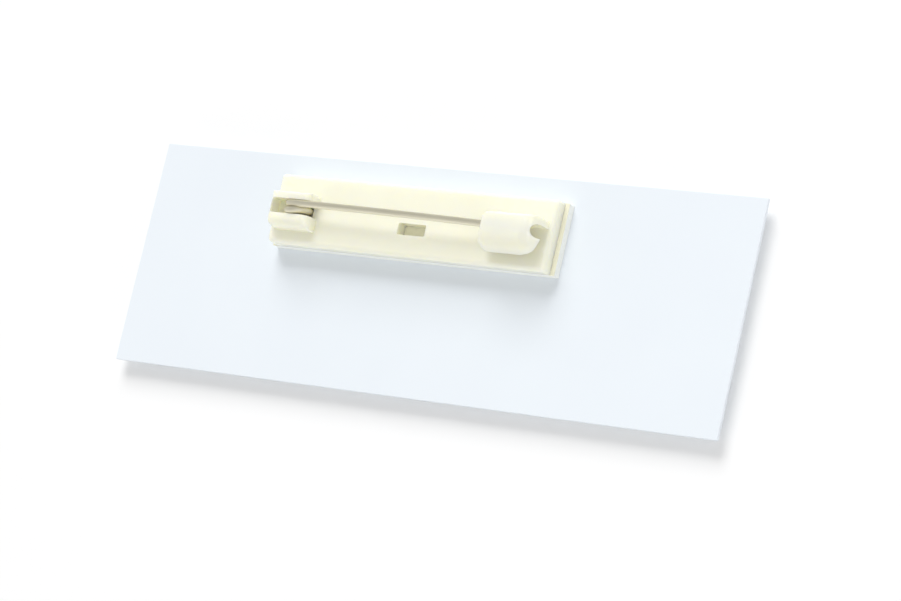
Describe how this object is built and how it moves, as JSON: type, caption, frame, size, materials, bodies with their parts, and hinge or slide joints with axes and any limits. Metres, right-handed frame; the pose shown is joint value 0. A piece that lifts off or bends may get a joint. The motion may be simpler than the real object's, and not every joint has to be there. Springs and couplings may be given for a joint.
{
  "type": "pin-back name badge",
  "caption": "Plain flat rectangular name badge lying face down, with a moulded plastic bar pin and its steel wire stuck to its back.",
  "frame": {"origin": "middle of the front face of the plate, which lies on the table", "axes": "+X along the badge from the hinge end to the catch end of its pin, +Y to its upper edge, +Z out of its back"},
  "size_m": [0.0762, 0.0254, 0.0068],
  "materials": {
    "plate": "satin white engraving sheet",
    "tape": "cream closed-cell foam with adhesive",
    "moulding": "moulded ivory, soft gloss",
    "wire": "drawn spring wire, nickel plated"
  },
  "bodies": {
    "badge": {"badge_plate": "plate", "foam_tape": "tape", "pin_base": "moulding"},
    "pin": {"pin_wire": "wire"}
  },
  "joints": [
    {"name": "pin_hinge", "type": "hinge", "parent": "badge", "child": "pin", "pos_m": [-0.0162, 0.00584, 0.00469], "axis": [0, -1, 0], "range_deg": [0, 45]}
  ]
}
